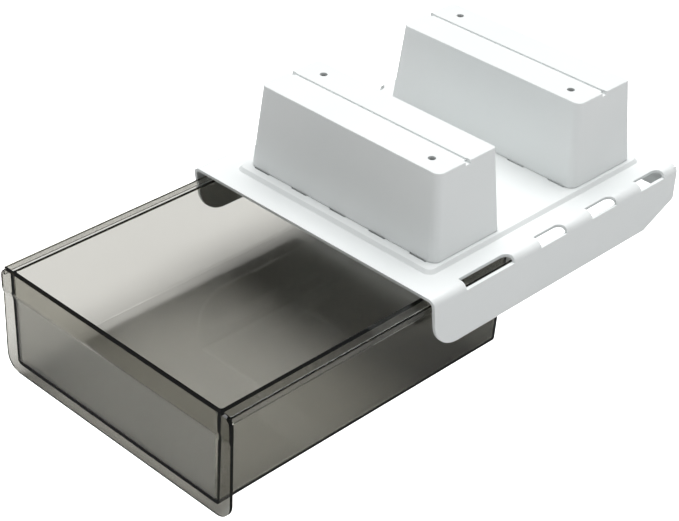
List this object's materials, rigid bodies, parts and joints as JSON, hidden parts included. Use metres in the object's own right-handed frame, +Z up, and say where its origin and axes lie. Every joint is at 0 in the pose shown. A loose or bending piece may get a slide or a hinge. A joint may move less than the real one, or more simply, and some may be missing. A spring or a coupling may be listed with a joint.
{
  "type": "under desk drawer",
  "caption": "Under-desk drawer: white carrier hung from the desk on two box risers, with a smoked see-through drawer sliding on its side rims, shown pulled out.",
  "frame": {"origin": "on the underside of the desk, in the middle between left and right and in the middle of the carrier's depth", "axes": "+X to the drawer's right as seen by a person sitting at the desk, -Y to the front (the drawer opens towards -Y), +Z up towards the desk"},
  "size_m": [0.187, 0.3537, 0.1251],
  "materials": {
    "white_plastic": "fine satin moulded ABS",
    "smoked_plastic": "clear smoke-grey styrene, frosted on the lower front"
  },
  "bodies": {
    "carrier_body": {"carrier": "white_plastic", "riser_front": "white_plastic", "riser_rear": "white_plastic"},
    "drawer_body": {"drawer": "smoked_plastic"}
  },
  "joints": [
    {"name": "drawer_slide", "type": "slide", "parent": "carrier_body", "child": "drawer_body", "axis": [0, -1, 0], "range_m": [-0.1367, 0.014]}
  ]
}
